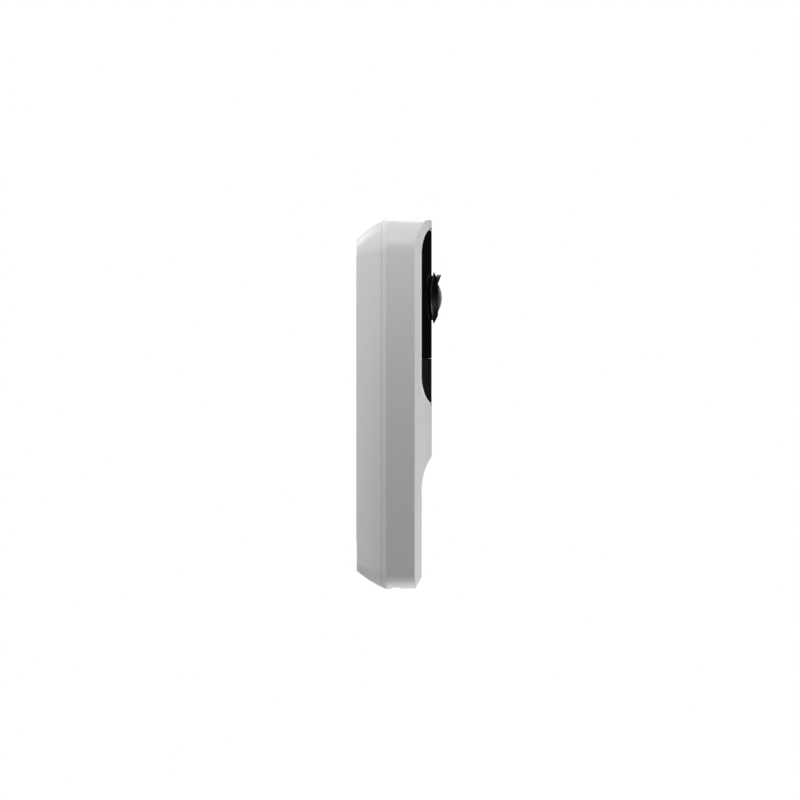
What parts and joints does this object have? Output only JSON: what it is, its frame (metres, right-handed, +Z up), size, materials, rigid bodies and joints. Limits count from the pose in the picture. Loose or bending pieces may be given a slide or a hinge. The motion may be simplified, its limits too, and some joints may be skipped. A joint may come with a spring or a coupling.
{
  "type": "video doorbell",
  "caption": "Upright wall-mounted video doorbell with a hooded camera lens, black window, round call button in a scooped recess and a slide-on wall bracket.",
  "frame": {"origin": "centre of the wall bracket's back face, on the wall plane", "axes": "+Z up along the tall side, -Y out of the wall towards the visitor, +X to the right seen from the front"},
  "size_m": [0.0472, 0.0347, 0.15],
  "materials": {
    "white_shell": "fine satin moulded texture",
    "white_button": "smooth satin",
    "bracket_plastic": "moulded",
    "gloss_black": "polished",
    "satin_black": "satin",
    "bezel_black": "satin",
    "clear_dome": "polished, coated",
    "coated_glass": "coated",
    "black_metal": "satin",
    "black_plastic": "moulded",
    "chip_black": "moulded",
    "board_green": "solder mask",
    "board_black": "solder mask",
    "flex_amber": "film",
    "led_clear": "clear",
    "steel": "bright",
    "steel_dark": "black oxide",
    "brass": "bright",
    "battery_wrap": "film wrap",
    "connector_white": "moulded",
    "lead_red": "insulation",
    "ring_diffuser": "frosted",
    "silicone": "translucent",
    "seal_rubber": "matt",
    "foam": "closed-cell foam",
    "membrane": "woven mesh"
  },
  "bodies": {
    "wall_mount": {"wall_bracket": "bracket_plastic", "wall_gasket": "foam"},
    "unit": {"front_housing": "white_shell", "rear_housing": "white_shell", "housing_seal": "seal_rubber", "camera_window": "gloss_black", "pir_window": "satin_black", "camera_bezel": "bezel_black", "lens_dome": "clear_dome", "lens_barrel": "black_metal", "front_lens_element": "coated_glass", "rear_lens_element": "coated_glass", "lens_holder": "black_plastic", "image_sensor": "chip_black", "camera_board": "board_green", "camera_flex": "flex_amber", "ir_led_board": "board_black", "ir_leds": "led_clear", "ambient_light_sensor": "led_clear", "light_baffle": "seal_rubber", "pir_sensor": "steel", "inner_chassis": "black_plastic", "main_board": "board_green", "main_processor": "chip_black", "rf_shield": "steel", "wifi_antenna": "flex_amber", "board_screws": "steel", "battery_pack": "battery_wrap", "battery_connector": "connector_white", "battery_lead": "lead_red", "light_ring": "ring_diffuser", "button_seal": "silicone", "button_board": "board_green", "tact_switch": "chip_black", "status_leds": "led_clear", "mic_membrane": "membrane", "microphone": "steel", "speaker_mesh": "membrane", "speaker_gasket": "foam", "speaker_driver": "black_metal", "usb_plug": "seal_rubber", "usb_port": "steel", "terminal_block": "brass", "terminal_screws": "steel", "housing_screws": "steel_dark", "threaded_inserts": "brass"},
    "button": {"button_cap": "white_button"},
    "plunger": {"switch_plunger": "connector_white"},
    "security_screw": {"security_screw": "steel"}
  },
  "joints": [
    {"name": "unit_lift", "type": "slide", "parent": "wall_mount", "child": "unit", "axis": [0, 0, 1], "range_m": [0, 0.006]},
    {"name": "button_press", "type": "slide", "parent": "unit", "child": "button", "axis": [0, 1, 0], "range_m": [0, 0.0006], "stiffness_N_per_m": 1500},
    {"name": "switch_press", "type": "slide", "parent": "unit", "child": "plunger", "axis": [0, 1, 0], "range_m": [0, 0.0006]},
    {"name": "screw_out", "type": "slide", "parent": "unit", "child": "security_screw", "axis": [0, 0, -1], "range_m": [0, 0.01]}
  ],
  "couplings": [
    {"joint": "switch_press", "follows": "button_press", "ratio": 1}
  ]
}
